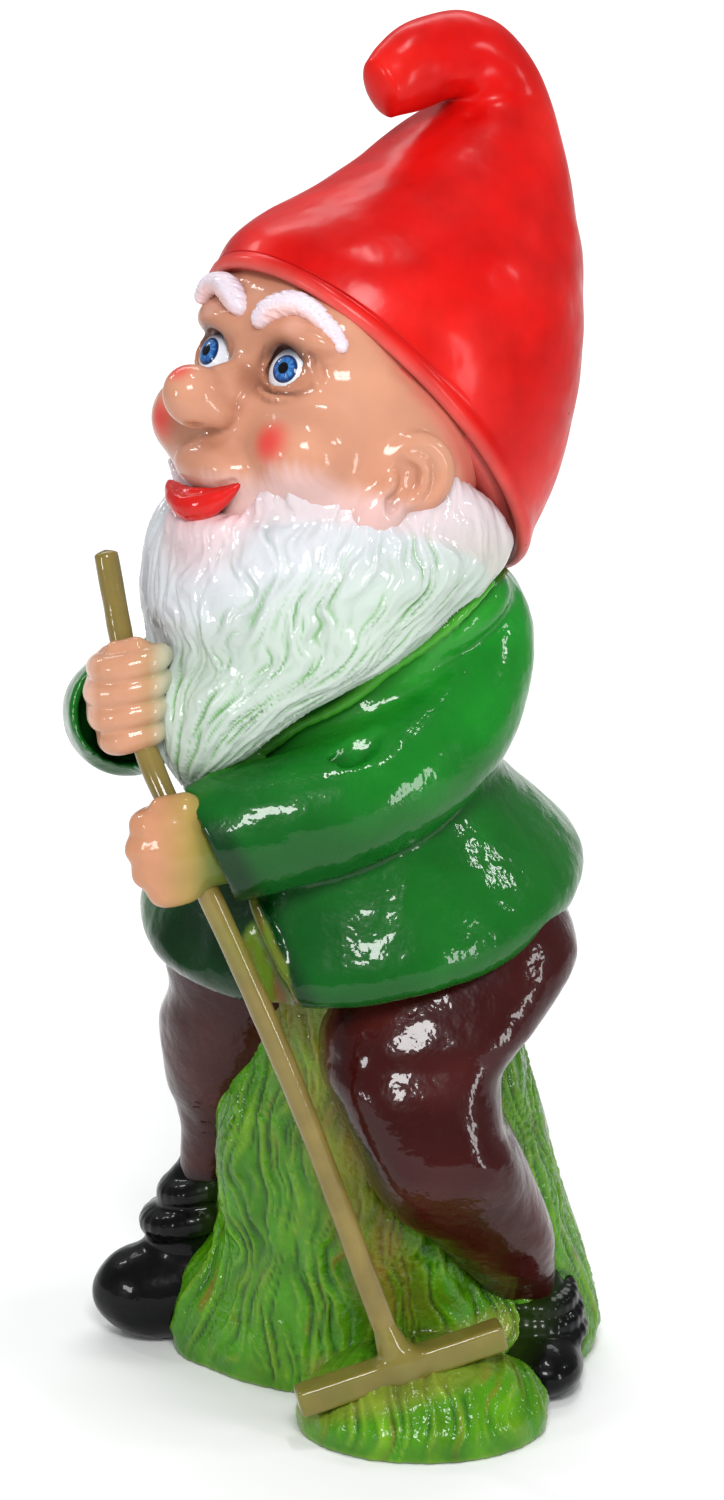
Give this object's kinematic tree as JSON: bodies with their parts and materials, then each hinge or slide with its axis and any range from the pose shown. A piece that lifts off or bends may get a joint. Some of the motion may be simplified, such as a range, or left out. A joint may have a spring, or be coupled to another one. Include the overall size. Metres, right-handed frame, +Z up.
{
  "type": "garden gnome",
  "caption": "Bearded garden gnome in a curled pointed hat, leaning on a rake on a grassy mound, a hollow moulded and painted figure with a filling stopper underneath.",
  "frame": {"origin": "on the ground under the middle of the figure's plan", "axes": "+Z up, the body faces -Y, the gnome's left hand side is +X"},
  "size_m": [0.2778, 0.2866, 0.6975],
  "materials": {
    "red_paint": "glossy red lacquer over the moulded hat",
    "skin_paint": "glossy peach skin paint with red blush",
    "eye_paint": "glossy white with painted blue irises",
    "lip_paint": "glossy red",
    "white_paint": "glossy white with faint pink and green airbrushing",
    "green_paint": "glossy deep green, lighter at the worn edges",
    "brown_paint": "glossy maroon brown",
    "black_paint": "glossy black",
    "grass_paint": "glossy grass green with olive and brown strokes",
    "rake_paint": "glossy khaki",
    "bare_plastic": "unpainted moulding",
    "stopper_rubber": "soft black stopper"
  },
  "bodies": {
    "figure": {"hat": "red_paint", "head": "skin_paint", "nose": "skin_paint", "lips": "lip_paint", "left_eye": "eye_paint", "right_eye": "eye_paint", "left_eyebrow": "white_paint", "right_eyebrow": "white_paint", "left_ear": "skin_paint", "right_ear": "skin_paint", "beard": "white_paint", "jacket": "green_paint", "left_sleeve": "green_paint", "right_sleeve": "green_paint", "left_hand": "skin_paint", "right_hand": "skin_paint", "left_trouser_leg": "brown_paint", "right_trouser_leg": "brown_paint", "left_boot": "black_paint", "right_boot": "black_paint", "left_boot_cuff": "black_paint", "right_boot_cuff": "black_paint", "grass_mound": "grass_paint", "rake_handle": "rake_paint", "rake_socket": "rake_paint", "rake_head": "rake_paint", "base_plate": "bare_plastic"},
    "stopper": {"fill_bung": "stopper_rubber"}
  },
  "joints": [
    {"name": "stopper_pull", "type": "slide", "parent": "figure", "child": "stopper", "axis": [0, 0, -1], "range_m": [0, 0.03]}
  ]
}
